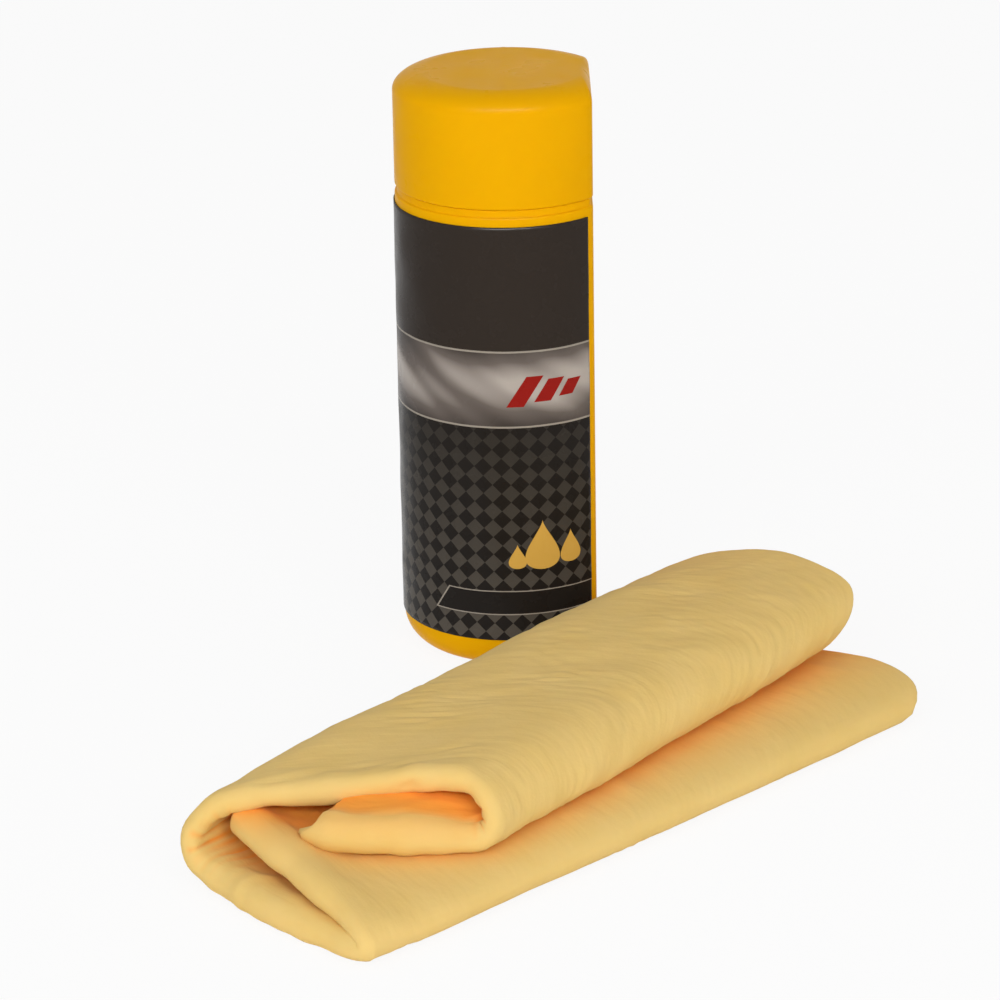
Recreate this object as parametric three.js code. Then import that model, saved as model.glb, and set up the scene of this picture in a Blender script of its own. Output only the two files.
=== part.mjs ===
// Synthetic chamois cloth with its storage canister: a thick cloth folded twice lengthways, lying in
// front of a blow-moulded canister with a D-shaped section, a push-on cap and a wrap-round label.
// Millimetres, +Z up. The canister's flat side faces +X and its label faces -Y.
import * as THREE from "three";

// Canister body
const bodyRadius = 31.75;
const flatDistance = 24.4; // from the axis to the flat side
const cornerRadius = 4; // where the round wall turns into the flat side
const sharpestCorner = 0.8; // of the same turn on the inside
const shoulderHeight = 136.8;
const shoulderRound = 0.6;
const baseFillet = 9.8;
const standingRing = 5; // width of the flat ring that the canister stands on
const pushUp = 2.2; // rise of the middle of the base
const pushUpSlope = 3;
const wall = 1.4;

// Collar that the cap sits on, and the neck under the cap
const collarInset = 0.7;
const neckWall = 1.5;
const fitClearance = 0.35; // between the neck and the cap, all round
const beadHeight = 0.2;
const beadWidth = 3;
const beadRise = 9; // above the shoulder
const rimRound = 0.5;
const rimClearance = 0.9; // between the neck's rim and where the cap's inside begins to round in
const seatGap = 0.3; // between the collar and the cap that sits on it

// Cap
const capGroove = 2.2; // shallow groove between the shoulder and the cap's lower edge
const capHeight = 32.5;
const capFillet = 8.3; // along the round wall
const capFlatFillet = 3.2; // along the flat side
const capWall = 1.4;
const capRimRound = 0.4;

// Wrap-round label
const labelBottom = 10.3;
const labelTopMargin = 2.6; // bare wall between the label and the shoulder
const labelThickness = 0.35;
const labelGap = 0.1;
const labelEndSetback = 1.1; // bare wall between the label's end and the corner of the flat side

// Cloth sheet
const cutLength = 430;
const cutWidth = 320;
const sheetThickness = 2.5;
const plyGap = 0.5; // between the two layers of the doubled sheet
const layGap = 0.65; // between doubled layers that lie on each other

// Folds of the cloth. "Near" is the rounded end towards the viewer, "far" the end with the cut edges.
const foldSkew = 13.2; // the left fold lies this much closer at the near end and wider at the far end
const topTakeUp = 17; // width that the round left and upper folds take out of the top panel
const lowerTuckNear = 21.6; // the lower flap stops this far short of a full panel
const lowerTuckFar = 6;
const upperTuckNear = 43.5;
const upperTuckFar = 34;
const lowerTipLiftNear = 8; // the free edges of the flaps stand this much above their folds
const upperTipLiftNear = 4.2;
const upperTipLiftFar = 2;
const leftCrestLiftNear = 2.2; // opening of the round left fold above the stacked layers
const leftCrestLiftFar = 8.3;
const rightCrestLiftNear = 7.6; // opening of the upper fold above the stacked layers
const rightCrestLiftFar = 9.2;
const farLoft = 0.8; // how much looser each layer lies on the one below at the far end
const crestBulge = 2.5; // bow of the left fold and the top panel halfway along
// Rounded near end, as [distance behind the end, thickness], in shares of half and of full thickness
const nearRound = [[0, 0.35], [0.3, 0.78], [1, 1]];

// How far each edge of the near end lies behind the right fold's end
const nearSetback = {
  lowerTip: 9.2,
  rightFold: 0,
  leftFoldLow: -2.5,
  leftFoldHigh: 11.2,
  upperFoldHigh: 49.7,
  upperFoldLow: 45.3,
  upperTip: 14.2,
};
// How far each edge of the far end stops short of half the cut length
const farSetback = {
  lowerTip: 8.5,
  rightFold: 6,
  leftFoldLow: 9.5,
  leftFoldHigh: 4.5,
  upperFoldHigh: -2,
  upperFoldLow: 5,
  upperTip: 8.5,
};

// Where the near end of the right fold lies, seen from the canister's axis, and which way it points
const clothRight = -40.9;
const clothAhead = -220;
const clothTurnDegrees = 42.85;

// Facets
const arcSteps = 48;
const cornerSteps = 4;
const filletSteps = 6;
const edgeSteps = 3;
const foldSteps = 9;
const panelSteps = 6;
const lengthSteps = 6;

const yellowPlastic = new THREE.MeshStandardMaterial({ color: 0xefb000, roughness: 0.38, metalness: 0 });
const labelFilm = new THREE.MeshStandardMaterial({ color: 0x362b24, roughness: 0.28, metalness: 0 });
const chamois = new THREE.MeshStandardMaterial({ color: 0xe9c274, roughness: 0.85, metalness: 0 });

const neckInset = capWall + fitClearance;
const capBottom = shoulderHeight + capGroove;
const capTop = capBottom + capHeight;

// The canister's outline, moved inwards by an inset: a circle cut by the flat side, corners rounded. The
// flat side can have an inset of its own.
function outline(inset, flatInset = inset) {
  const radius = bodyRadius - inset;
  const flat = flatDistance - flatInset;
  const corner = Math.max(cornerRadius - flatInset, sharpestCorner);
  const centreX = flat - corner;
  const centreY = Math.sqrt((radius - corner) ** 2 - centreX ** 2);
  const turn = Math.atan2(centreY, centreX);
  const round = new THREE.EllipseCurve(0, 0, radius, radius, turn, 2 * Math.PI - turn);
  const right = new THREE.EllipseCurve(centreX, -centreY, corner, corner, -turn, 0);
  const left = new THREE.EllipseCurve(centreX, centreY, corner, corner, 0, turn);
  return [
    ...round.getPoints(arcSteps),
    ...right.getPoints(cornerSteps).slice(1),
    ...left.getPoints(cornerSteps).slice(0, -1),
  ];
}

// Angle at which the round wall ends and the corner begins.
function roundWallEnd() {
  const end = outline(0)[0];
  return Math.atan2(end.y, end.x);
}

// A quarter round in the wall's section, as [inset, height] from its first to its last angle in degrees.
function quarterRound(centreInset, centreHeight, radius, from, to, steps) {
  const round = [];
  for (let i = 0; i <= steps; i++) {
    const angle = THREE.MathUtils.degToRad(from + ((to - from) * i) / steps);
    round.push([centreInset - radius * Math.cos(angle), centreHeight + radius * Math.sin(angle)]);
  }
  return round;
}

function meshOf(name, positions, triangles, material) {
  const geometry = new THREE.BufferGeometry();
  geometry.setAttribute("position", new THREE.Float32BufferAttribute(positions, 3));
  geometry.setIndex(triangles);
  geometry.computeVertexNormals();
  const mesh = new THREE.Mesh(geometry, material);
  mesh.name = name;
  return mesh;
}

// A hollow shell: the outline carried along a section that runs from one side of its end wall round the
// mouth to the other side, closed by a fan in the middle of the end wall on both sides.
function shell(name, section, firstCentre, lastCentre, material) {
  const positions = [];
  const triangles = [];
  let count = 0;
  for (const [inset, height, flatInset] of section) {
    const ring = outline(inset, flatInset);
    count = ring.length;
    ring.forEach((p) => positions.push(p.x, p.y, height));
  }
  const rings = section.length;
  const middle = (flatDistance - bodyRadius) / 2;
  positions.push(middle, 0, firstCentre, middle, 0, lastCentre);
  for (let i = 0; i < count; i++) {
    const next = (i + 1) % count;
    for (let k = 0; k + 1 < rings; k++) {
      const low = k * count;
      const high = low + count;
      triangles.push(low + i, low + next, high + next, low + i, high + next, high + i);
    }
    const last = (rings - 1) * count;
    triangles.push(rings * count, next, i, rings * count + 1, last + i, last + next);
  }
  return meshOf(name, positions, triangles, material);
}

// A closed sheet between two grids of points, each a list of rows, facing up on its first grid.
function sheet(name, upper, lower, material) {
  const rows = upper.length;
  const columns = upper[0].length;
  const positions = [...upper, ...lower].flatMap((row) => row.flatMap((p) => p.toArray()));
  const triangles = [];
  const quad = (a, b, c, d) => triangles.push(a, b, c, a, c, d);
  const top = (r, c) => r * columns + c;
  const under = (r, c) => (rows + r) * columns + c;
  for (let r = 0; r + 1 < rows; r++) {
    for (let c = 0; c + 1 < columns; c++) {
      quad(top(r, c), top(r, c + 1), top(r + 1, c + 1), top(r + 1, c));
      quad(under(r, c), under(r + 1, c), under(r + 1, c + 1), under(r, c + 1));
    }
    quad(top(r, 0), top(r + 1, 0), under(r + 1, 0), under(r, 0));
    const end = columns - 1;
    quad(top(r, end), under(r, end), under(r + 1, end), top(r + 1, end));
  }
  for (let c = 0; c + 1 < columns; c++) {
    quad(top(0, c), under(0, c), under(0, c + 1), top(0, c + 1));
    const end = rows - 1;
    quad(top(end, c), top(end, c + 1), under(end, c + 1), under(end, c));
  }
  return meshOf(name, positions, triangles, material);
}

function canisterBody() {
  const innerFillet = baseFillet - wall;
  const ringInside = baseFillet + standingRing;
  const plateau = ringInside + pushUpSlope;
  const ledge = capBottom - seatGap;
  const rim = capTop - capFillet - rimClearance;
  const neckInside = neckInset + neckWall;
  const bead = shoulderHeight + beadRise;
  const outside = [
    [plateau, pushUp],
    [ringInside, 0],
    ...quarterRound(baseFillet, baseFillet, baseFillet, -90, 0, filletSteps),
    ...quarterRound(shoulderRound, shoulderHeight - shoulderRound, shoulderRound, 0, 90, edgeSteps),
    [collarInset, shoulderHeight],
    [collarInset, ledge],
    [neckInset, ledge],
    [neckInset, bead - beadWidth / 2],
    [neckInset - beadHeight, bead],
    [neckInset, bead + beadWidth / 2],
    ...quarterRound(neckInset + rimRound, rim - rimRound, rimRound, 0, 90, edgeSteps),
  ];
  const inside = [
    [neckInside, rim],
    [neckInside, shoulderHeight - wall],
    [wall, shoulderHeight - wall - (neckInside - wall)],
    ...quarterRound(baseFillet, baseFillet, innerFillet, 0, -90, filletSteps),
    [ringInside, wall],
    [plateau, pushUp + wall],
  ];
  return shell("canister_body", [...outside, ...inside], pushUp, pushUp + wall, yellowPlastic);
}

// The cap's top edge is a wide round along the round wall and a narrow one along the flat side. The narrow
// one is limited by the wall: the flat of the top has to end inside the circle of the top.
function canisterCap() {
  const innerFillet = capFillet - capWall;
  const filletHeight = capTop - capFillet;
  const leastFlatFillet = flatDistance - (bodyRadius - capFillet) + sharpestCorner;
  const flatFillet = Math.max(capFlatFillet, leastFlatFillet);
  const narrowed = (round, from) => {
    const share = (flatFillet - from) / (capFillet - from);
    return round.map(([inset, height]) => [inset, height, from + (inset - from) * share]);
  };
  const inside = [
    ...narrowed(quarterRound(capFillet, filletHeight, innerFillet, 90, 0, filletSteps), capWall),
    [capWall, capBottom],
  ];
  const outside = [
    [capRimRound, capBottom],
    [0, capBottom + capRimRound],
    ...narrowed(quarterRound(capFillet, filletHeight, capFillet, 0, 90, filletSteps), 0),
  ];
  return shell("canister_cap", [...inside, ...outside], capTop - capWall, capTop, yellowPlastic);
}

function wrapLabel() {
  const end = roundWallEnd() + labelEndSetback / bodyRadius;
  const heights = [labelBottom, shoulderHeight - labelTopMargin];
  const grid = (radius) => {
    const arc = new THREE.EllipseCurve(0, 0, radius, radius, end, 2 * Math.PI - end).getPoints(arcSteps);
    return heights.map((height) => arc.map((p) => new THREE.Vector3(p.x, p.y, height)));
  };
  const inner = bodyRadius + labelGap;
  return sheet("wrap_label", grid(inner + labelThickness), grid(inner), labelFilm);
}

// The doubled sheet: half the cut length long, two layers thick, in panels a quarter of the cut width.
const ply = 2 * sheetThickness + plyGap;
const foldedLength = cutLength / 2;
const panel = cutWidth / 4;

// Height of the middle of the nth doubled layer of the stack, counted from the ground.
const layer = (n) => (n + 0.5) * ply + n * layGap;

// The middle line of the folded sheet at one end, as points of (along, across, height): the lower flap
// from its free edge, the right fold, the base panel, the left fold, the top panel, the upper fold and
// the upper flap. Flaps lift as bent strips do, and folds are half rounds between the layers they join.
function foldLine(end) {
  const points = [];
  const along = (from, to, f) => THREE.MathUtils.lerp(end.along[from], end.along[to], f);
  const flap = (tip, root, fromTip) => {
    for (let i = 0; i < panelSteps; i++) {
      const f = fromTip ? 1 - i / panelSteps : (i + 1) / panelSteps;
      const across = THREE.MathUtils.lerp(root.across, tip.across, f);
      const height = root.height + (tip.height - root.height) * f * f;
      points.push(new THREE.Vector3(along(root.name, tip.name, f), across, height));
    }
  };
  const fold = (fromName, toName, outermost, from, to, side) => {
    const radius = Math.abs(to - from) / 2;
    const middle = (from + to) / 2;
    for (let i = 0; i <= foldSteps; i++) {
      const angle = (Math.PI * i) / foldSteps;
      const across = outermost + side * (radius - radius * Math.sin(angle));
      const height = middle + (from - middle) * Math.cos(angle);
      points.push(new THREE.Vector3(along(fromName, toName, i / foldSteps), across, height));
    }
    return { across: outermost + side * radius, height: to, name: toName };
  };
  const run = (fromName, toName, from, to) => {
    for (let i = 1; i < panelSteps; i++) {
      const f = i / panelSteps;
      const across = THREE.MathUtils.lerp(from.across, to.across, f);
      const height = THREE.MathUtils.lerp(from.height, to.height, f);
      points.push(new THREE.Vector3(along(fromName, toName, f), across, height));
    }
  };
  const ground = layer(0);
  const rightRadius = (end.lowerFlapHeight - ground) / 2;
  const leftRadius = (end.topLeftHeight - ground) / 2;
  const upperRadius = (end.topRightHeight - end.upperFlapHeight) / 2;
  const lowerRoot = { across: rightRadius, height: end.lowerFlapHeight, name: "rightFold" };
  flap({ across: end.lowerTip, height: end.lowerTipHeight, name: "lowerTip" }, lowerRoot, true);
  const base = fold("rightFold", "rightFold", 0, end.lowerFlapHeight, ground, 1);
  run("rightFold", "leftFoldLow", base, { across: end.leftFold - leftRadius, height: ground });
  const crest = fold("leftFoldLow", "leftFoldHigh", end.leftFold, ground, end.topLeftHeight, -1);
  const turn = { across: end.upperFold + upperRadius, height: end.topRightHeight };
  run("leftFoldHigh", "upperFoldHigh", crest, turn);
  const upperRoot = fold(
    "upperFoldHigh", "upperFoldLow", end.upperFold, end.topRightHeight, end.upperFlapHeight, 1,
  );
  flap({ across: end.upperTip, height: end.upperTipHeight, name: "upperTip" }, upperRoot, false);
  return points;
}

function chamoisCloth() {
  const half = ply / 2;
  const upperFoldNear = panel - foldSkew - (panel - topTakeUp);
  const upperFoldFar = panel + foldSkew - (panel - topTakeUp);
  const farAlong = Object.fromEntries(
    Object.entries(farSetback).map(([edge, setback]) => [edge, foldedLength - setback]),
  );
  const near = foldLine({
    lowerTip: panel - lowerTuckNear,
    leftFold: panel - foldSkew,
    upperFold: upperFoldNear,
    upperTip: upperFoldNear + panel - upperTuckNear,
    lowerFlapHeight: layer(1),
    lowerTipHeight: layer(1) + lowerTipLiftNear,
    topLeftHeight: layer(3) + leftCrestLiftNear,
    topRightHeight: layer(3) + rightCrestLiftNear,
    upperFlapHeight: layer(2),
    upperTipHeight: layer(2) + upperTipLiftNear,
    along: nearSetback,
  });
  const far = foldLine({
    lowerTip: panel - lowerTuckFar,
    leftFold: panel + foldSkew,
    upperFold: upperFoldFar,
    upperTip: upperFoldFar + panel - upperTuckFar,
    lowerFlapHeight: layer(1) + farLoft,
    lowerTipHeight: layer(1) + farLoft,
    topLeftHeight: layer(3) + leftCrestLiftFar,
    topRightHeight: layer(3) + rightCrestLiftFar,
    upperFlapHeight: layer(2) + 2 * farLoft,
    upperTipHeight: layer(2) + 2 * farLoft + upperTipLiftFar,
    along: farAlong,
  });
  // Rows along the length: [share of the length, distance behind the near end, share of the thickness].
  const rows = nearRound.map(([behind, thick]) => [0, half * behind, thick]);
  for (let i = 1; i <= lengthSteps; i++) {
    rows.push([i / lengthSteps, half * (1 - i / lengthSteps), 1]);
  }
  const widest = Math.max(...near.map((p) => p.y));
  const upper = [];
  const lower = [];
  for (const [share, behind, thick] of rows) {
    const bow = 4 * share * (1 - share) * crestBulge;
    const line = near.map((p, i) => {
      const point = p.clone().lerp(far[i], share);
      point.x += behind;
      point.y += bow * (p.y / widest) ** 2;
      return point;
    });
    const normals = line.map((p, i) => {
      const before = line[Math.max(i - 1, 0)];
      const after = line[Math.min(i + 1, line.length - 1)];
      return new THREE.Vector3(0, after.z - before.z, before.y - after.y).normalize();
    });
    upper.push(line.map((p, i) => p.clone().addScaledVector(normals[i], half * thick)));
    lower.push(line.map((p, i) => p.clone().addScaledVector(normals[i], -half * thick)));
  }
  return sheet("chamois_cloth", upper, lower, chamois);
}

const canister = new THREE.Group();
canister.add(canisterBody(), canisterCap(), wrapLabel());

const cloth = new THREE.Group();
cloth.add(chamoisCloth());
cloth.position.set(clothRight, clothAhead, 0);
cloth.rotation.z = THREE.MathUtils.degToRad(clothTurnDegrees);

// The set stands on Z = 0 with its footprint centred on the origin.
const set = new THREE.Group();
set.add(canister, cloth);
const footprint = new THREE.Box3().setFromObject(set, true).getCenter(new THREE.Vector3());
set.position.set(-footprint.x, -footprint.y, 0);

const part = new THREE.Group();
part.add(set);

export default part;
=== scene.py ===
"""A synthetic chamois cloth folded into a packet, and the plastic canister that it is kept in.

Metres, +Z up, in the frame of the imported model. The canister's flat side faces +X and its label faces -Y.
"""

import bpy
import numpy as np
from mathutils import Matrix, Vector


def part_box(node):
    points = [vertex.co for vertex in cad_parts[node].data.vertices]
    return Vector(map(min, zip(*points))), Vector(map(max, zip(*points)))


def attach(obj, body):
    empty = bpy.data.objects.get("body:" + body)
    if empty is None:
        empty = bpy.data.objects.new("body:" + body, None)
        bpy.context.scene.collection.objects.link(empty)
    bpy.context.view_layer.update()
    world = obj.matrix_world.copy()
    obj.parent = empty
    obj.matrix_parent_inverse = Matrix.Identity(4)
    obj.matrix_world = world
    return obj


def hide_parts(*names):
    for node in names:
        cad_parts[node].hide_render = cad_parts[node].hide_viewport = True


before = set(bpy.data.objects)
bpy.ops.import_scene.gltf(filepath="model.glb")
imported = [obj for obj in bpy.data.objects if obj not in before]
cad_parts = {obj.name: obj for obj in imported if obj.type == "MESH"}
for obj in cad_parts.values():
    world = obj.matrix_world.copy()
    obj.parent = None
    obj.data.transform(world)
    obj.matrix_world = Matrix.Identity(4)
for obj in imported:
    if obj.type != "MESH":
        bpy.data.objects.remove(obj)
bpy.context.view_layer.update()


# Canister body: a blow-moulded bottle of self-coloured yellow polyethylene with a D-shaped section. Its neck
# steps in to take the cap, with a bead that the cap snaps over, and its base stands on a ring round a
# pushed-up middle.
mm = 0.001
body_radius = 31.75 * mm
corner_radius = 4 * mm  # where the round wall turns into the flat side
sharpest_corner = 0.8 * mm
shoulder_height = 136.8 * mm
shoulder_round = 0.6 * mm
collar_inset = 0.7 * mm  # of the collar that the cap sits on
ledge_height = 138.9 * mm
ledge_round = 0.25 * mm
base_fillet = 9.8 * mm
standing_ring = 5 * mm
push_up = 2.2 * mm
push_up_slope = 3 * mm
wall = 1.4 * mm
cap_wall = 1.4 * mm
cap_clearance = 0.35 * mm
neck_wall = 1.5 * mm
rim_round = 0.5 * mm
bead_rise = 9 * mm
bead_height = 0.2 * mm
bead_width = 3 * mm
pinch_line = 0.35 * mm  # height of the line where the mould pinched off the base
line_width = 0.6 * mm

body_low, body_high = (np.array(corner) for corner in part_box("canister_body"))
axis = np.array([body_low[0] + body_radius, (body_low[1] + body_high[1]) / 2, 0])
flat_distance = body_high[0] - axis[0]
rim_height = body_high[2]
neck_inset = cap_wall + cap_clearance
neck_inside = neck_inset + neck_wall

round_columns = 361
corner_columns = 12
flat_columns = 30
end_shares = np.linspace(0.96, 0.08, 12)  # rings of the end walls


def d_outlines(insets, flat_insets):
    """D-shaped outlines, a row for each inset: the round wall from corner to corner, a corner, the flat side
    and the other corner. A circle is cut by the flat side, and the corner circles touch both from inside."""
    radius = body_radius - insets[:, None]
    flat = flat_distance - flat_insets[:, None]
    corner = np.maximum(corner_radius - flat_insets[:, None], sharpest_corner)
    centre_x = flat - corner
    centre_y = np.sqrt((radius - corner) ** 2 - centre_x ** 2)
    turn = np.arctan2(centre_y, centre_x)
    angle = turn + (2 * np.pi - 2 * turn) * np.linspace(0, 1, round_columns)
    first = turn * np.linspace(-1, 0, corner_columns + 1)[1:]
    last = turn * np.linspace(0, 1, corner_columns + 1)[:-1]
    side = np.linspace(-1, 1, flat_columns + 1)[1:-1]
    x = [radius * np.cos(angle), centre_x + corner * np.cos(first)]
    x += [flat + 0 * side, centre_x + corner * np.cos(last)]
    y = [radius * np.sin(angle), corner * np.sin(first) - centre_y]
    y += [centre_y * side, centre_y + corner * np.sin(last)]
    return np.stack([np.concatenate(x, axis=1), np.concatenate(y, axis=1)], axis=-1)


def round_edge(inset, height, radius, first, last, steps=10):
    """A rounded edge of the wall's section: (inset, height) points on a circle, from the first to the last
    angle in degrees, where 0 points outwards and 90 points up."""
    angle = np.radians(np.linspace(first, last, steps))
    return np.column_stack([inset - radius * np.cos(angle), height + radius * np.sin(angle)])


def stepped(value):
    """A smooth step from 0 to 1 while the value does the same: 3t^2 - 2t^3."""
    t = np.clip(value, 0, 1)
    return t * t * (3 - 2 * t)


def eased(start, end, steps=8):
    """A run of the section from one (inset, height) point to another that leaves and arrives level: the
    height follows a smooth step."""
    t = np.linspace(0, 1, steps)
    inset = start[0] + (end[0] - start[0]) * t
    return np.column_stack([inset, start[1] + (end[1] - start[1]) * stepped(t)])


def put_mesh(name, points, *faces):
    """A smooth mesh object at the origin, from an array of points and arrays of faces."""
    mesh = bpy.data.meshes.new(name)
    corners = np.concatenate([group.ravel() for group in faces])
    sizes = np.concatenate([np.full(len(group), group.shape[1]) for group in faces])
    mesh.vertices.add(len(points))
    mesh.vertices.foreach_set("co", points.astype(np.float32).ravel())
    mesh.loops.add(len(corners))
    mesh.loops.foreach_set("vertex_index", corners.astype(np.int32))
    mesh.polygons.add(len(sizes))
    mesh.polygons.foreach_set("loop_start", (np.cumsum(sizes) - sizes).astype(np.int32))
    mesh.update(calc_edges=True)
    mesh.validate()
    mesh.shade_smooth()
    made = bpy.data.objects.new(name, mesh)
    bpy.context.scene.collection.objects.link(made)
    return made


def d_shell(name, section, flat_insets, first_line, last_line, line_rows):
    """A shell with a D-shaped plan: the outline carried along a section of (inset, height) points. The first
    and the last outline draw together to the middle of the plan as the end walls. The mould's parting line
    stands out on the plane x = 0 of the end walls, and of some rows at the end of the section, as a ridge of
    height * exp(-(x / width)^2) along the normal."""
    rings = d_outlines(section[:, 0], flat_insets)
    heights = np.broadcast_to(section[:, 1, None, None], rings.shape[:2] + (1,))
    rings = np.concatenate([rings, heights], axis=-1)
    middle = np.array([(flat_distance - body_radius) / 2, 0, 0])
    first_hub = middle + [0, 0, section[0, 1]]
    last_hub = middle + [0, 0, section[-1, 1]]
    shares = end_shares[:, None, None]
    first_wall = first_hub + shares[::-1] * (rings[0] - first_hub)
    last_wall = last_hub + shares * (rings[-1] - last_hub)
    rings = np.concatenate([first_wall, rings, last_wall])
    round_about = np.roll(rings, -1, axis=1) - np.roll(rings, 1, axis=1)
    normals = np.cross(round_about, np.gradient(rings, axis=0))
    normals /= np.linalg.norm(normals, axis=-1, keepdims=True)
    line = np.zeros(len(rings))
    line[:len(end_shares)] = first_line
    line[-len(end_shares):] = last_line
    line[-len(end_shares) - line_rows:-len(end_shares)] = last_line * np.linspace(0, 1, line_rows)
    ridge = line[:, None] * np.exp(-(rings[..., 0] / line_width) ** 2)
    rings = rings + normals * ridge[..., None]
    count, columns = rings.shape[:2]
    index = np.arange(count * columns).reshape(count, columns)
    ahead = np.roll(index, -1, axis=1)
    quads = np.stack([index[:-1], ahead[:-1], ahead[1:], index[1:]], axis=-1).reshape(-1, 4)
    hubs = count * columns + np.array([0, 1])
    first_fan = np.stack([np.full(columns, hubs[0]), ahead[0], index[0]], axis=-1)
    last_fan = np.stack([np.full(columns, hubs[1]), index[-1], ahead[-1]], axis=-1)
    points = np.concatenate([rings.reshape(-1, 3), [first_hub, last_hub]]) + axis
    return put_mesh(name, points, quads, first_fan, last_fan)


bead_at = shoulder_height + bead_rise
bead_turn = np.linspace(-1, 1, 13)
bead = np.column_stack([
    neck_inset - bead_height * np.cos(bead_turn * np.pi / 2) ** 2,
    bead_at + bead_turn * bead_width / 2,
])
ring_inside = base_fillet + standing_ring
plateau = ring_inside + push_up_slope
body_section = np.concatenate([
    eased((plateau, push_up), (ring_inside, 0)),
    round_edge(base_fillet, base_fillet, base_fillet, -90, 0, 16),
    round_edge(shoulder_round, shoulder_height - shoulder_round, shoulder_round, 0, 90),
    round_edge(collar_inset - ledge_round, shoulder_height + ledge_round, ledge_round, 270, 180, 5),
    round_edge(collar_inset + ledge_round, ledge_height - ledge_round, ledge_round, 0, 90, 5),
    round_edge(neck_inset - ledge_round, ledge_height + ledge_round, ledge_round, 270, 180, 5),
    bead,
    round_edge(neck_inset + rim_round, rim_height - rim_round, rim_round, 0, 90, 6),
    round_edge(neck_inside - rim_round, rim_height - rim_round, rim_round, 90, 180, 6),
    [(neck_inside, shoulder_height - wall), (wall, shoulder_height - neck_inside)],
    round_edge(base_fillet, base_fillet, base_fillet - wall, 0, -90, 16),
    eased((ring_inside, wall), (plateau, push_up + wall)),
])
canister_body = d_shell("canister_body_shell", body_section, body_section[:, 0], pinch_line, 0, 0)


def shader_node(tree, kind, inputs=(), **settings):
    """A node of one kind with its settings, and its inputs set to values or linked to sockets."""
    made = tree.nodes.new(kind)
    for name, value in settings.items():
        setattr(made, name, value)
    for name, value in dict(inputs).items():
        if isinstance(value, bpy.types.NodeSocket):
            tree.links.new(value, made.inputs[name])
        else:
            made.inputs[name].default_value = value
    return made


def yellow_polyethylene():
    """Self-coloured polyethylene: a cloudy yellow with faint upright die lines, a fine moulded grain and
    patches that handling has rubbed a little duller."""
    deep_yellow = (0.83, 0.395, 0.001, 1)
    clear_yellow = (0.90, 0.445, 0.001, 1)
    material = bpy.data.materials.new("yellow_polyethylene")
    material.use_nodes = True
    tree = material.node_tree
    shader = tree.nodes["Principled BSDF"]
    place = shader_node(tree, "ShaderNodeTexCoord").outputs["Object"]
    clouds = shader_node(tree, "ShaderNodeTexNoise", {"Vector": place, "Scale": 34, "Detail": 3})
    upright = shader_node(tree, "ShaderNodeMapping", {"Vector": place, "Scale": (1, 1, 0.04)})
    lines = shader_node(tree, "ShaderNodeTexNoise", {
        "Vector": upright.outputs[0], "Scale": 420, "Detail": 2,
    })
    grain = shader_node(tree, "ShaderNodeTexNoise", {"Vector": place, "Scale": 1500, "Detail": 2})
    rubbed = shader_node(tree, "ShaderNodeTexNoise", {"Vector": place, "Scale": 90, "Detail": 5})
    colour = shader_node(tree, "ShaderNodeMix", {0: clouds.outputs[0]}, data_type="RGBA")
    colour.inputs[6].default_value = deep_yellow
    colour.inputs[7].default_value = clear_yellow
    gloss = shader_node(tree, "ShaderNodeMapRange", {
        "Value": rubbed.outputs[0], "From Min": 0.35, "From Max": 0.7, "To Min": 0.26, "To Max": 0.4,
    })
    relief = shader_node(tree, "ShaderNodeBump", {
        "Strength": 0.12, "Distance": 0.2 * mm, "Height": lines.outputs[0],
    })
    relief = shader_node(tree, "ShaderNodeBump", {
        "Strength": 0.1, "Distance": 0.1 * mm, "Height": grain.outputs[0], "Normal": relief.outputs[0],
    })
    tree.links.new(colour.outputs[2], shader.inputs["Base Color"])
    tree.links.new(gloss.outputs[0], shader.inputs["Roughness"])
    tree.links.new(relief.outputs[0], shader.inputs["Normal"])
    shader.inputs["Subsurface Weight"].default_value = 0.12
    shader.inputs["Subsurface Radius"].default_value = (1, 0.5, 0.1)
    shader.inputs["Subsurface Scale"].default_value = 2 * mm
    shader.inputs["Specular IOR Level"].default_value = 0.015
    return material


yellow_plastic = yellow_polyethylene()
canister_body.data.materials.append(yellow_plastic)
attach(canister_body, "canister")
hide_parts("canister_body")


# Canister cap: a push-on cap of the same plastic and section. Its top edge is a low full round with a soft
# break at the top, narrow along the flat side. It slides down over the neck until its lower edge sits on the
# collar.
cap_fillet = 8.3 * mm  # inside, and across the round outside
cap_drop = 5.2 * mm  # height of the round outside
cap_flat_fillet = 2.8 * mm
cap_break = 12  # degrees that the round stops short of the top's own direction
cap_rim_round = 0.65 * mm
cap_dip = 0.04 * mm
cap_dip_slope = 5 * mm
part_line = 0.12 * mm  # height of the mould's parting line

cap_low, cap_high = (np.array(corner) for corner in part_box("canister_cap"))
cap_bottom = cap_low[2]
cap_top = cap_high[2]
fillet_height = cap_top - cap_fillet
dip_inside = cap_fillet + cap_dip_slope
cap_inside = np.concatenate([
    eased((dip_inside, cap_top - cap_wall - cap_dip), (cap_fillet, cap_top - cap_wall)),
    round_edge(cap_fillet, fillet_height, cap_fillet - cap_wall, 90, 0, 14),
])
cap_rim = np.concatenate([
    round_edge(cap_wall - cap_rim_round, cap_bottom + cap_rim_round, cap_rim_round, 180, 270, 6),
    round_edge(cap_rim_round, cap_bottom + cap_rim_round, cap_rim_round, -90, 0, 6),
])
round_turn = np.radians(np.linspace(0, 90 - cap_break, 20))
cap_round = np.concatenate([
    np.column_stack([
        cap_fillet * (1 - np.cos(round_turn)) / (1 - np.cos(round_turn[-1])),
        cap_top - cap_drop * (1 - np.sin(round_turn) / np.sin(round_turn[-1])),
    ]),
    eased((cap_fillet, cap_top), (dip_inside, cap_top - cap_dip))[1:],
])
past_fillet = np.array([cap_fillet, cap_fillet + cap_dip_slope])
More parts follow.
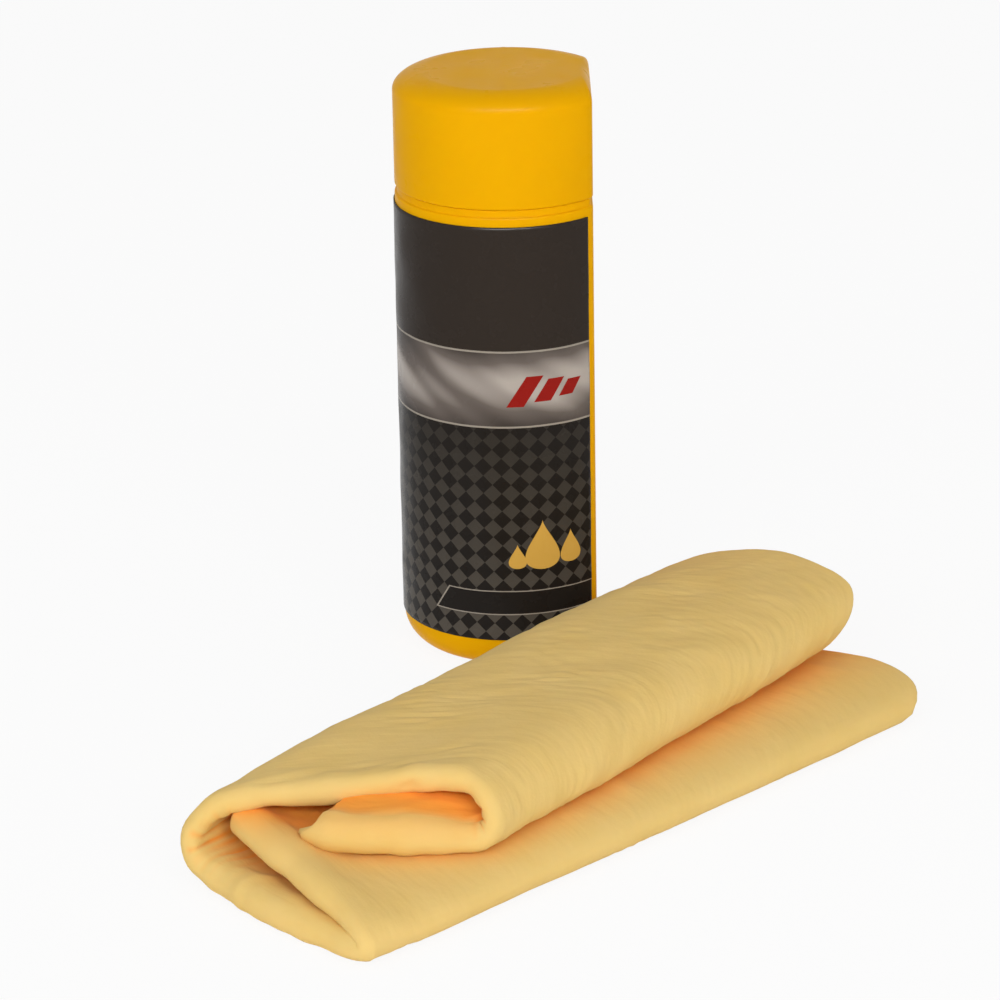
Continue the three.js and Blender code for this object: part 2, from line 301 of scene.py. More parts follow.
past_flat_fillet = past_fillet - cap_fillet + cap_flat_fillet
cap_flat_insets = np.concatenate([
    np.interp(cap_inside[:, 0], [cap_wall, *past_fillet], [cap_wall, *past_flat_fillet]),
    cap_rim[:, 0],
    np.interp(cap_round[:, 0], [0, *past_fillet], [0, *past_flat_fillet]),
])
cap_section = np.concatenate([cap_inside, cap_rim, cap_round])
canister_cap = d_shell("canister_cap_shell", cap_section, cap_flat_insets, 0, part_line, len(cap_round))
canister_cap.data.materials.append(yellow_plastic)
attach(canister_cap, "cap")
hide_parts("canister_cap")


# Wrap label: a glossy printed film stuck round the round part of the wall, from one corner of the flat side
# to the other. The print is a generic one: a silver band, a lozenge check, drops and a plain bar.
label_columns = 261
label_rows = 111
film_wave = 0.05 * mm  # how far the film lifts in its shallow blisters
film_thick = 0.3 * mm
stuck_edge = 1 / 14  # share of the height over which the blisters die out at the upper and lower edges

label_low, label_high = (np.array(corner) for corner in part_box("wrap_label"))
label_radius = axis[0] - label_low[0]
label_end = np.arccos((label_high[0] - axis[0]) / label_radius)
label_height = label_high[2] - label_low[2]
label_turn = np.linspace(label_end, 2 * np.pi - label_end, label_columns)
label_rise = np.linspace(0, 1, label_rows)


def ripples(x, y, shortest, longest, count, seed, lean=0.0, spread=np.pi):
    """A smooth random relief between about -1 and 1: the sum of a count of cosine waves with random phases
    and with lengths between the shortest and the longest, in the unit of x and y. Their directions lie
    within a spread of one lean, in radians from x."""
    draw = np.random.default_rng(seed)
    lengths = np.exp(draw.uniform(np.log(shortest), np.log(longest), count))
    angles = lean + draw.uniform(-spread / 2, spread / 2, count)
    phases = draw.uniform(0, 2 * np.pi, count)
    across = np.multiply.outer(x, np.cos(angles)) + np.multiply.outer(y, np.sin(angles))
    waves = np.cos(2 * np.pi * across / lengths + phases) * np.sqrt(lengths / longest)
    return waves.sum(axis=-1) / np.sqrt(0.5 * np.sum(lengths / longest))


def film_skin(radius, lift):
    """The film as a curved wall: a point for each height and angle, on a circle of the radius plus its
    lift."""
    reach = radius + lift
    height = np.broadcast_to(label_low[2] + label_rise[:, None] * label_height, reach.shape)
    x = axis[0] + reach * np.cos(label_turn)
    y = axis[1] + reach * np.sin(label_turn)
    return np.stack([x, y, height], axis=-1)


def closed_sheet(front, back):
    """Points and faces of a thin sheet closed round its edge, from two grids of an odd number of rows and
    columns. The front faces out where its columns run to the right and its rows run up. The back is drawn
    with every second row and column."""
    rows, columns = front.shape[:2]
    back = back[::2, ::2]
    index = np.arange(rows * columns).reshape(rows, columns)
    under = rows * columns + np.arange(back.shape[0] * back.shape[1]).reshape(back.shape[:2])

    def cells(grid):
        around = [grid[:-1, :-1], grid[:-1, 1:], grid[1:, 1:], grid[1:, :-1]]
        return np.stack(around, axis=-1).reshape(-1, 4)

    def border(grid):
        return np.concatenate([grid[0, :-1], grid[:-1, -1], grid[-1, :0:-1], grid[:0:-1, 0]])

    edge = border(index)
    hem = border(under)
    rim = np.stack([np.roll(edge, -2)[::2], edge[1::2], edge[::2], hem, np.roll(hem, -1)], axis=-1)
    points = np.concatenate([front.reshape(-1, 3), back.reshape(-1, 3)])
    return points, cells(index), cells(under)[:, ::-1], rim


wrap_mm = label_turn[None, :] * label_radius / mm + 0 * label_rise[:, None]
rise_mm = label_rise[:, None] * label_height / mm + 0 * label_turn[None, :]
blisters = ripples(wrap_mm, rise_mm, 9, 40, 30, seed=3) * film_wave
edge_share = np.minimum(label_rise, 1 - label_rise)[:, None] + 0 * wrap_mm
blisters *= np.clip(edge_share / stuck_edge, 0, 1)
label_sheet = closed_sheet(
    film_skin(label_radius - film_wave, blisters),
    film_skin(label_radius - film_thick - film_wave, 0 * blisters),
)
wrap_label = put_mesh("wrap_label_film", *label_sheet)


def put_map(made, name, u, v):
    """A UV map of a closed sheet, from the u and the v of each point of its front grid."""
    grid = np.stack([u, v], axis=-1)
    pairs = np.concatenate([grid.reshape(-1, 2), grid[::2, ::2].reshape(-1, 2)])
    corner = np.empty(len(made.data.loops), np.int32)
    made.data.loops.foreach_get("vertex_index", corner)
    made.data.uv_layers.new(name=name).data.foreach_set("uv", pairs[corner].astype(np.float32).ravel())


put_map(wrap_label, "film", *np.meshgrid(np.linspace(0, 1, label_columns), label_rise))


def printed_film():
    """A dark printed film under a clear gloss. The print is worked out in millimetres round the wall from
    the label's front line and up from its lower edge."""
    material = bpy.data.materials.new("printed_film")
    material.use_nodes = True
    tree = material.node_tree
    shader = tree.nodes["Principled BSDF"]

    def sum_of(operation, first, second=0.0, third=0.0):
        """One step of arithmetic on sockets or numbers."""
        terms = {0: first, 1: second, 2: third}
        return shader_node(tree, "ShaderNodeMath", terms, operation=operation).outputs[0]

    def between(value, low, high):
        """1 where the value lies between two limits, and 0 elsewhere."""
        return sum_of("MULTIPLY", sum_of("GREATER_THAN", value, low), sum_of("LESS_THAN", value, high))

    def ramp(value, start, end, low=0.0, high=1.0):
        """A level run from low to high while the value goes from start to end."""
        return shader_node(tree, "ShaderNodeMapRange", {
            "Value": value, "From Min": start, "From Max": end, "To Min": low, "To Max": high,
        }).outputs[0]

    def painted(under, colour, where):
        """One ink over another where a mask is 1."""
        mix = shader_node(tree, "ShaderNodeMix", {0: where}, data_type="RGBA")
        for slot, ink in ((6, under), (7, colour)):
            if isinstance(ink, bpy.types.NodeSocket):
                tree.links.new(ink, mix.inputs[slot])
            else:
                mix.inputs[slot].default_value = (*ink, 1)
        return mix.outputs[2]

    def drop(x, y, middle, foot, width, height):
        """A falling drop: x^2 < w^2 (1 - t)^3 (1 + t) with t from -1 at its foot to 1 at its tip."""
        t = ramp(y, foot, foot + height, -1, 1)
        aside = sum_of("DIVIDE", sum_of("SUBTRACT", x, middle), width)
        taper = sum_of("POWER", sum_of("SUBTRACT", 1.0, t), 3.0)
        bound = sum_of("MULTIPLY", taper, sum_of("ADD", 1.0, t))
        return sum_of("LESS_THAN", sum_of("MULTIPLY", aside, aside), bound)

    film = shader_node(tree, "ShaderNodeUVMap", uv_map="film").outputs[0]
    share = shader_node(tree, "ShaderNodeSeparateXYZ", {0: film})
    span = (2 * np.pi - 2 * label_end) * label_radius / mm
    front = (1.5 * np.pi - label_end) * label_radius / mm
    x = sum_of("SUBTRACT", sum_of("MULTIPLY", share.outputs[0], span), front)
    y = sum_of("MULTIPLY", share.outputs[1], label_height / mm)

    lozenge = 5.3  # from corner to corner
    band_foot = 65.0
    band_top = 87.4
    rule_width = 0.55
    bar_foot = 8.0
    bar_top = 15.1
    bar_left = -24.0
    bar_slant = 0.65
    bar_outline = 0.16  # half the width of its outline
    slant_widening = 1.6  # of the outline at the bar's slanted end
    # Red flashes as (left, width, foot, top), and drops as (middle, foot, half width, height)
    flashes = ((-1.0, 5.0, 71.0, 80.0), (7.0, 5.0, 72.2, 78.8), (14.5, 4.5, 73.2, 77.8))
    drops = ((9.0, 21.5, 4.0, 15.0), (17.8, 22.5, 2.6, 10.0), (1.6, 22.0, 2.0, 7.5))
    faintest_check = 0.22  # strength of the check at the band's foot
    creased_from = 88.0
    creased_to = 122.0
    charcoal = (0.032, 0.024, 0.019)
    lozenge_dark = (0.016, 0.013, 0.011)
    lozenge_light = (0.090, 0.078, 0.064)
    pale_line = (0.34, 0.30, 0.25)
    chamois_yellow = (0.67, 0.39, 0.075)
    lamp_red = (0.30, 0.012, 0.008)

    along = sum_of("DIVIDE", sum_of("ADD", x, y), lozenge)
    down = sum_of("DIVIDE", sum_of("SUBTRACT", x, y), lozenge)
    cells = sum_of("ADD", sum_of("FLOOR", along), sum_of("FLOOR", down))
    odd = sum_of("GREATER_THAN", sum_of("MODULO", sum_of("ABSOLUTE", cells), 2.0), 0.5)
    check = sum_of("MULTIPLY", odd, ramp(y, band_foot, 0.0, faintest_check, 1.0))
    check = sum_of("MULTIPLY", check, sum_of("LESS_THAN", y, band_foot))
    ink = painted(painted(charcoal, lozenge_dark, sum_of("LESS_THAN", y, band_foot)), lozenge_light, check)

    sweep = shader_node(tree, "ShaderNodeCombineXYZ", {
        0: sum_of("MULTIPLY", sum_of("ADD", x, sum_of("MULTIPLY", y, 1.4)), 0.05),
        1: sum_of("MULTIPLY", y, 0.03),
    }).outputs[0]
    streak = shader_node(tree, "ShaderNodeTexNoise", {
        "Vector": sweep, "Scale": 1.0, "Detail": 1,
    }).outputs[0]
    height = ramp(y, band_foot, band_top)
    arch = sum_of("SINE", sum_of("MULTIPLY", height, 3.1))
    shine = sum_of("ADD", sum_of("MULTIPLY", streak, 0.9), sum_of("MULTIPLY", arch, 0.45))
    silver = shader_node(tree, "ShaderNodeValToRGB", {0: shine})
    steps = silver.color_ramp.elements
    steps[0].position = 0.35
    steps[0].color = (0.035, 0.028, 0.024, 1)
    steps[1].position = 1.0
    steps[1].color = (0.46, 0.41, 0.37, 1)
    middle = steps.new(0.72)
    middle.color = (0.15, 0.125, 0.11, 1)
    ink = painted(ink, silver.outputs[0], between(y, band_foot, band_top))
    for left, width, low, high in flashes:
        slanted = sum_of("SUBTRACT", x, sum_of("MULTIPLY", sum_of("SUBTRACT", y, low), bar_slant))
        flash = sum_of("MULTIPLY", between(slanted, left, left + width), between(y, low, high))
        ink = painted(ink, lamp_red, flash)
    for line in (band_foot, band_top):
        ink = painted(ink, pale_line, between(y, line - rule_width / 2, line + rule_width / 2))

    for middle_x, foot, half_width, tall in drops:
        ink = painted(ink, chamois_yellow, drop(x, y, middle_x, foot, half_width, tall))

    slanted = sum_of("SUBTRACT", x, sum_of("MULTIPLY", sum_of("SUBTRACT", y, bar_foot), bar_slant))
    for grown, bar_ink in ((bar_outline, pale_line), (-bar_outline, lozenge_dark)):
        right_of_end = sum_of("GREATER_THAN", slanted, bar_left - grown * slant_widening)
        in_height = between(y, bar_foot - grown, bar_top + grown)
        ink = painted(ink, bar_ink, sum_of("MULTIPLY", in_height, right_of_end))

    tree.links.new(ink, shader.inputs["Base Color"])
    place = shader_node(tree, "ShaderNodeTexCoord").outputs["Object"]
    clouds = shader_node(tree, "ShaderNodeTexNoise", {
        "Vector": place, "Scale": 120, "Detail": 4,
    }).outputs[0]
    tree.links.new(ramp(clouds, 0.35, 0.7, 0.2, 0.34), shader.inputs["Roughness"])
    creases = shader_node(tree, "ShaderNodeTexNoise", {
        "Vector": place, "Scale": 70, "Detail": 3, "Distortion": 1.5,
    }).outputs[0]
    near_top = ramp(y, creased_from, creased_to, 0.1, 1.0)
    relief = shader_node(tree, "ShaderNodeBump", {
        "Strength": 0.35, "Distance": 0.6 * mm, "Height": sum_of("MULTIPLY", creases, near_top),
    })
    tree.links.new(relief.outputs[0], shader.inputs["Normal"])
    shader.inputs["Specular IOR Level"].default_value = 0.06
    return material


wrap_label.data.materials.append(printed_film())
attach(wrap_label, "canister")
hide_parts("wrap_label")


# Chamois cloth: one cut sheet of thick synthetic chamois, folded in half with that fold towards the viewer,
# then folded lengthways into a lower flap, a base, a top and an upper flap that is tucked under the top.
sheet_length = 430 * mm
sheet_thick = 2.5 * mm
layer_gap = 0.5 * mm
packet_at = axis + np.array([-40, -217, 0]) * mm
packet_turn = np.radians(44.6)

# The middle of the doubled sheet at its near and far ends, as (across, along, height) in millimetres: from
# the lower flap's free edge by the right fold, the base, the left fold, the top and the upper fold to the
# upper flap's free edge.
near_line = np.array([
    (59.3, 11.8, 14.6), (44.0, 8.0, 12.8), (23.0, 3.8, 10.8), (4.6, 1.0, 8.9),
    (-3.4, -0.5, 5.7), (2.7, -2.0, 2.9), (28.0, -3.3, 2.75), (47.0, -0.3, 2.9), (58.4, 1.0, 5.2),
    (63.6, 0.6, 11.5), (61.9, 4.6, 19.3), (55.5, 12.5, 23.2), (40.0, 27.0, 25.0), (21.0, 43.5, 28.6),
    (8.5, 50.0, 27.8), (2.0, 50.0, 21.0), (4.5, 45.5, 15.0), (14.5, 32.5, 15.6), (25.0, 20.0, 17.0),
    (34.0, 16.5, 17.8),
]) * mm
far_line = np.array([
    (66.0, 203.0, 10.2), (46.0, 204.0, 9.9), (25.0, 211.0, 9.8), (8.0, 215.0, 9.2),
    (-3.7, 210.0, 6.3), (2.3, 199.5, 2.9), (28.0, 206.0, 2.75), (60.0, 208.0, 2.9), (79.0, 207.0, 5.5),
    (85.5, 206.0, 14.0), (81.0, 207.0, 24.0), (69.0, 212.0, 29.5), (54.0, 218.0, 31.5), (39.0, 218.5, 31.0),
    (28.0, 217.5, 27.6), (23.5, 207.5, 22.5), (27.0, 197.5, 17.2), (40.0, 199.0, 15.8), (56.0, 204.0, 16.2),
    (70.0, 208.0, 17.2),
]) * mm
# Radius of the half fold at each of the near points, and how far apart the layers lie behind it
near_bend = np.array([
    3.4, 3.4, 2.9, 2.2, 1.6, 2.3, 3.0, 3.1, 2.4, 1.8, 1.9, 2.2, 2.4, 2.3, 2.0, 1.8, 2.8, 4.0, 4.0, 3.2,
]) * mm
inside_bend = np.array([
    1.8, 1.6, 1.5, 1.5, 1.5, 1.5, 1.5, 1.5, 1.5, 1.5, 1.5, 1.5, 1.5, 1.5, 1.5, 1.5, 2.6, 4.2, 4.2, 3.6,
]) * mm
bend_reach = 10 * mm
# Places of the lower flap's end, the folds and the dent in the top's edge, counted along the near points
lower_flap_end = 3.6
right_fold = 4.6
left_fold = 9
upper_fold = 15
top_dent = 12.8
# How far the right fold, the left fold and the top bow out between the two ends, and how far they swell
# close behind the near end
bow_line = np.zeros_like(near_line)
bow_line[3:6, 0] = -0.5 * mm
bow_line[7:14] = np.array([
    (1.0, 0, 0), (2.0, 0, 0), (2.5, 0, 0.5), (2.2, 0, 1.0), (1.5, 0, 1.5), (0, 0, 1.2), (0, 0, 0.5),
]) * mm
swell_line = np.zeros_like(near_line)
swell_line[3:6, 0] = -0.9 * mm
swell_line[9:13] = np.array([(0.6, 0, 0.4), (1.2, 0, 1.5), (1.1, 0, 1.5), (0, 0, 0.5)]) * mm
swell_at = 0.13  # of the packet's length

cloth_columns = 177
cloth_rows = 183  # in each of the two layers
turn_rows = 11  # round the half fold
edge_steps = np.array([0, 0.12, 0.4, 0.8]) * mm
edge_inset = 1.3 * mm


def spline(points, at):
    """A natural cubic spline through the points at whole-number parameters: the second differences m solve
    m[i-1] + 4 m[i] + m[i+1] = 6 (p[i-1] - 2 p[i] + p[i+1]), with none at the ends."""
    count = len(points)
    system = 4 * np.eye(count) + np.eye(count, k=1) + np.eye(count, k=-1)
    system[[0, -1]] = np.eye(count)[[0, -1]]
    bend = np.zeros_like(points)
    bend[1:-1] = 6 * (points[:-2] - 2 * points[1:-1] + points[2:])
    bend = np.linalg.solve(system, bend)
    left = np.clip(at.astype(int), 0, count - 2)
    f = (at - left)[:, None]
    g = 1 - f
    straight = g * points[left] + f * points[left + 1]
    return straight + ((g ** 3 - g) * bend[left] + (f ** 3 - f) * bend[left + 1]) / 6


def unit(vectors):
    """The same directions, one metre long."""
    return vectors / np.linalg.norm(vectors, axis=-1, keepdims=True)


fine = np.linspace(0, len(near_line) - 1, 4000)
paces = [np.linalg.norm(np.diff(spline(line, fine), axis=0), axis=1) for line in (near_line, far_line)]
walked = np.concatenate([[0], np.cumsum(sum(paces) / 2)])
profile_length = walked[-1]
across = np.concatenate([
    edge_steps,
    np.linspace(edge_inset, profile_length - edge_inset, cloth_columns),
    profile_length - edge_steps[::-1],
])
at = np.interp(across, walked, fine)
half_length = sheet_length / 2
back = np.concatenate([
    np.linspace(0, half_length - edge_inset, cloth_rows),
    half_length - edge_steps[::-1],
])
share = back[:, None] / half_length
bow = 27 / 4 * share ** 2 * (1 - share)  # 1 at its highest, two thirds of the way back
middle_sheet = (
    spline(near_line, at)[:, None] * (1 - share) + spline(far_line, at)[:, None] * share
    + spline(bow_line, at)[:, None] * bow
    + spline(swell_line, at)[:, None] * share / swell_at * np.exp(1 - share / swell_at)
)


def near(distance, width):
    """A soft hump of height 1 where the distance is 0: exp(-(distance / width)^2)."""
    return np.exp(-(distance / width) ** 2)


# The half fold is a loose loop: the layers stand apart there, and what lies on another layer grows upwards.
free_height = 24 * mm  # above this the loop opens both ways
free_slope = 6 * mm
closed_bend = (sheet_thick + layer_gap) / 2
near_loop = near(back, bend_reach)
loose = (spline(near_bend[:, None], at) - closed_bend) * near_loop
loose += (spline(inside_bend[:, None], at) - closed_bend) * (1 - near_loop) * (1 - share[:, 0] ** 2)
resting = np.clip((free_height - middle_sheet[..., 2]) / free_slope, 0, 1)
middle_sheet[..., 1] += loose * near_loop
middle_sheet[..., 2] += loose * resting

# The whole packet sways a little, so that no edge or fold runs quite straight, and least near the floor.
side_sway = 0.6 * mm
end_sway = 0.6 * mm
height_sway = 0.35 * mm
sway_x, sway_y, sway_z = np.moveaxis(middle_sheet / mm, -1, 0)
off_floor = np.clip(sway_z / 12, 0.2, 1)
well_off_floor = np.clip(sway_z / 14 - 0.3, 0, 1)
middle_sheet = middle_sheet + np.stack([
    side_sway * ripples(sway_y, sway_z, 70, 170, 12, seed=11) * off_floor,
    end_sway * ripples(sway_x, sway_z, 40, 120, 12, seed=12),
    height_sway * ripples(sway_x, sway_y, 45, 120, 16, seed=13) * well_off_floor,
], axis=-1)

along_sheet = unit(np.gradient(middle_sheet, axis=1))
across_sheet = unit(np.gradient(middle_sheet, axis=0))
inward = unit(np.cross(across_sheet, along_sheet))  # towards the inside of the folds
tip = unit(np.cross(across_sheet[:, 0], inward[:, 0]))
tip *= -np.sign(np.sum(tip * along_sheet[:, 0], axis=-1, keepdims=True))

# Rows of the single sheet: the inner layer from the far end, the half fold, the outer layer to the far end
turn = np.linspace(0, np.pi, turn_rows + 2)[1:-1]
count = len(back)
row = np.concatenate([np.arange(count)[::-1], np.zeros(turn_rows, int), np.arange(count)])
inner_share = np.concatenate([np.ones(count), np.cos(turn), -np.ones(count)])
tip_share = np.concatenate([np.zeros(count), np.sin(turn), np.zeros(count)])
facing = inward[:, row] * inner_share[None, :, None] + tip[:, None] * tip_share[None, :, None]
behind = back[row]

# At the upper flap's free edge the lower half of the half fold sticks out as a lobe, cut at a slant that
# shows a lip of its inside. At the lower flap's free edge the corner draws back.
lobe_reach = 4.5 * mm
lip_reach = 1.2 * mm
lip_fade = 4 * mm
corner_draw = 1.6 * mm
reach_fade = 8 * mm
lobe_share = stepped(0.75 - 0.9 * inner_share) * (1 - 0.35 * stepped(-2 * inner_share - 0.9))
slip = lobe_reach * lobe_share * np.exp((across[:, None] - profile_length) / reach_fade)
lip = lip_reach * lobe_share * near(behind, reach_fade)
lip = lip * np.exp((across[:, None] - profile_length) / lip_fade)
slip += corner_draw * tip_share ** 2 * np.exp(-across[:, None] / reach_fade)
middle_rows = middle_sheet[:, row] + across_sheet[:, row] * slip[..., None]

# Drying wrinkles: soft ridges across the packet that arch over the upper fold, and creases gathered on the
# inside of the round folds. They fade on the half fold, on the right fold and towards the cut ends. Heights
# and depths are in millimetres, as the grid is.
ridge_height = 0.085
swell_height = 0.16
hollow_depth = 0.06
ruffle_height = 0.2  # close behind the half fold
gather_most = 2.2
gather_kept_back = 1.2  # at the half fold itself
gather_spacing = 5.2
dent_depth = 1.9
length_mm = np.concatenate([-back[::-1], closed_bend * (turn - np.pi / 2), back]) / mm
a_grid, l_grid = np.meshgrid(across / mm, length_mm, indexing="ij")
drift = 10 * ripples(a_grid, l_grid, 50, 130, 14, seed=21)
ridges = ripples(a_grid, l_grid + drift, 4.2, 9, 60, seed=22, lean=np.pi / 2, spread=1.6)
swells = ripples(a_grid, l_grid + drift, 16, 44, 30, seed=23)
calm = 0.5 + 0.6 * ripples(a_grid, l_grid, 18, 50, 20, seed=24)
relief = ridge_height * np.clip(calm, 0.1, 1.3) * ridges + swell_height * swells
hollows = ripples(a_grid, l_grid + drift, 8, 20, 24, seed=25, lean=np.pi / 2, spread=2.6)
relief -= hollow_depth * np.abs(hollows)
cut_distance = half_length - behind
fade = 1 - 0.85 * near(behind, 9 * mm) - 0.6 * near(cut_distance, 8 * mm)
relief *= fade * (1 - 0.7 * near(at - right_fold, 1.2))[:, None]
relief += ruffle_height * ripples(a_grid, l_grid, 7, 22, 24, seed=26) * near(behind, 14 * mm)

gather_depth = (gather_most - gather_kept_back * near(behind, 3 * mm)) * near(behind, 40 * mm)
gathers = (0.5 + 0.5 * np.cos(2 * np.pi * (a_grid + 0.12 * drift) / gather_spacing)) ** 4
in_fold = near(at - left_fold, 1.2) + 0.9 * near(at - upper_fold, 0.9)
creases = gathers * in_fold[:, None] * np.clip(2 * inner_share, 0, 1)
relief -= creases * gather_depth
dent = near(at - top_dent, 0.11)[:, None] * near(behind, 11 * mm)
relief -= dent_depth * dent * near(inner_share - 0.25, 0.6)

least_round = 0.02  # square of the share of the thickness that is left at the very edge


def rounded(distance):
    """Share of the full thickness at a distance from a cut edge: a half round, never quite closed."""
    inwards = np.clip(distance / (sheet_thick / 2), 0, 1)
    return np.sqrt(np.clip(1 - (1 - inwards) ** 2, least_round, 1))


edge_round = rounded(np.minimum(across, profile_length - across))[:, None]
half_thick = sheet_thick / 2 * edge_round * rounded(cut_distance)
bend = closed_bend + loose[:, row]
outer_skin = middle_rows + facing * (bend + half_thick + relief * mm * edge_round)[..., None]
inner_skin = middle_rows + facing * (bend - half_thick)[..., None]
inner_skin = inner_skin + across_sheet[:, row] * lip[..., None]


def on_floor(local):
    """Local (across, along, height) points turned and moved to the packet's place, none below the floor."""
    x = np.cos(packet_turn) * local[..., 1] - np.sin(packet_turn) * local[..., 0]
    y = np.sin(packet_turn) * local[..., 1] + np.cos(packet_turn) * local[..., 0]
    return np.stack([x, y, np.maximum(local[..., 2], 0)], axis=-1) + packet_at


cloth_sheet = closed_sheet(*(on_floor(np.swapaxes(skin, 0, 1)) for skin in (outer_skin, inner_skin)))
chamois_cloth = put_mesh("chamois_cloth_sheet", *cloth_sheet)
put_map(chamois_cloth, "sheet", a_grid.T * mm, l_grid.T * mm)

# Painted fold shade: the cloth's colour deepens to amber in place of the shade and the orange bounced light
# in
# the folds: inside the folds and their creases, and on the lower flap by and under the packet, whose edge
# above that flap is given in millimetres across for some places along.
fold_shade_reach = 14 * mm
upper_fold_shade_reach = 6 * mm
upper_fold_shade_start = 3.5 * mm
packet_along = [0, 15, 36, 50, 210]
packet_across = [60, 40, 14, 0, 22]
shade_reach = 11 * mm
upper_flap = stepped(at - upper_fold)[:, None]
fold_shade_scale = fold_shade_reach + (upper_fold_shade_reach - fold_shade_reach) * upper_flap
painted_fold_shade = np.clip(inner_share, 0, 1) * (1 - near(behind + upper_fold_shade_start * upper_flap, fold_shade_scale))
painted_fold_shade *= 1 - 0.6 * near(cut_distance, 30 * mm)
# painted shade in the gathered creases
painted_fold_shade = np.clip(painted_fold_shade + 0.5 * creases * gather_depth, 0, 1)
packet_edge = np.interp(middle_rows[..., 1] / mm, packet_along, packet_across) * mm
clear_of_packet = (packet_edge - middle_rows[..., 0]) / shade_reach
lower_flap = np.clip(lower_flap_end - at, 0, 1)[:, None] * np.clip(-inner_share, 0, 1)
# painted shade on the lower flap beside the packet, deepest where the packet lies over it
painted_packet_shade = 0.45 * np.exp(-np.clip(clear_of_packet, 0, None))
painted_packet_shade = painted_packet_shade + 0.5 * np.clip(-clear_of_packet, 0, 1)
painted_fold_shade = np.maximum(painted_fold_shade, lower_flap * painted_packet_shade)
fold_shade_values = np.zeros(len(chamois_cloth.data.vertices), np.float32)
fold_shade_values[:painted_fold_shade.size] = painted_fold_shade.T.ravel()
chamois_cloth.data.attributes.new("painted_fold_shade", "FLOAT", "POINT").data.foreach_set("value", fold_shade_values)


def soft_chamois():
    """Thick synthetic chamois: a matt buff yellow with a soft nap, fine pores, small wrinkles and painted
    amber shade in its folds.
    """
    buff = (0.82, 0.555, 0.165, 1)
    pale_buff = (0.88, 0.625, 0.235, 1)
    # colour of the painted shade in the folds
    shade_amber = (1.0, 0.37, 0.05, 1)
    material = bpy.data.materials.new("soft_chamois")
    material.use_nodes = True
    tree = material.node_tree
    shader = tree.nodes["Principled BSDF"]
    place = shader_node(tree, "ShaderNodeTexCoord").outputs["Object"]

    def noise(vector, scale, detail):
        """A noise pattern of one scale, as its grey and its colour sockets."""
        return shader_node(tree, "ShaderNodeTexNoise", {
            "Vector": vector, "Scale": scale, "Detail": detail,
        }).outputs

    clouds = noise(place, 60, 4)[0]
    pores = noise(place, 1400, 3)[0]
    creases = noise(place, 330, 3)[0]
    sheet = shader_node(tree, "ShaderNodeUVMap", uv_map="sheet").outputs[0]
    drift = noise(sheet, 16, 1)[1]
    drifted = shader_node(tree, "ShaderNodeVectorMath", {
        0: drift, 1: (20 * mm, 20 * mm, 0), 2: sheet,
    }, operation="MULTIPLY_ADD").outputs[0]
    drawn = shader_node(tree, "ShaderNodeMapping", {"Vector": drifted, "Scale": (90, 310, 1)}).outputs[0]
    fine_ridges = noise(drawn, 1, 1)[0]
    colour = shader_node(tree, "ShaderNodeMix", {0: clouds}, data_type="RGBA")
    colour.inputs[6].default_value = buff
    colour.inputs[7].default_value = pale_buff
    relief = shader_node(tree, "ShaderNodeBump", {
        "Strength": 0.22, "Distance": 0.5 * mm, "Height": creases,
    })
    relief = shader_node(tree, "ShaderNodeBump", {
        "Strength": 0.8, "Distance": 0.25 * mm, "Height": fine_ridges, "Normal": relief.outputs[0],
    })
    relief = shader_node(tree, "ShaderNodeBump", {
        "Strength": 0.2, "Distance": 0.2 * mm, "Height": pores, "Normal": relief.outputs[0],
    })
    # painted shade: the amber of the folds, read from the point attribute, stands in for shade and bounced
    # light
    fold_shade_share = shader_node(tree, "ShaderNodeAttribute", attribute_name="painted_fold_shade").outputs["Fac"]
    shaded_colour = shader_node(tree, "ShaderNodeMix", {0: fold_shade_share, 6: colour.outputs[2]}, data_type="RGBA")
    shaded_colour.inputs[7].default_value = shade_amber
    tree.links.new(shaded_colour.outputs[2], shader.inputs["Base Color"])
    tree.links.new(relief.outputs[0], shader.inputs["Normal"])
    shader.inputs["Roughness"].default_value = 0.85
    shader.inputs["Specular IOR Level"].default_value = 0.05
    shader.inputs["Sheen Weight"].default_value = 0.04
    shader.inputs["Subsurface Weight"].default_value = 0.12
    shader.inputs["Subsurface Radius"].default_value = (1, 0.6, 0.3)
    shader.inputs["Subsurface Scale"].default_value = 1.5 * mm
    return material


chamois_cloth.data.materials.append(soft_chamois())
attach(chamois_cloth, "cloth")
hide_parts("chamois_cloth")


# Studio: a plain pale floor, an even pale surround, one long soft lamp before the object, a thin strip lamp
# that only draws the shine on round edges, and a camera at the photograph's place.
floor_size = 6.0
floor_glow = 0.9  # share of plain white where the floor is seen directly
floor_corners = np.array([(-1, -1, 0), (1, -1, 0), (1, 1, 0), (-1, 1, 0)]) * floor_size / 2
floor = put_mesh("floor", floor_corners, np.array([[0, 1, 2, 3]]))
paper = bpy.data.materials.new("white_paper")
paper.use_nodes = True
paper_tree = paper.node_tree
paper_shader = paper_tree.nodes["Principled BSDF"]
paper_shader.inputs["Base Color"].default_value = (0.9, 0.9, 0.9, 1)
paper_shader.inputs["Roughness"].default_value = 0.9


def seen_directly(tree):
    """1 for light that goes to the camera by itself or by way of a mirror or glass, and 0 for the rest."""
    path = shader_node(tree, "ShaderNodeLightPath").outputs
    mirrored = shader_node(tree, "ShaderNodeMath", {
        0: path["Is Glossy Ray"], 1: path["Is Transmission Ray"],
    }, operation="MAXIMUM")
    return shader_node(tree, "ShaderNodeMath", {
        0: path["Is Camera Ray"], 1: mirrored.outputs[0],
    }, operation="MAXIMUM").outputs[0]


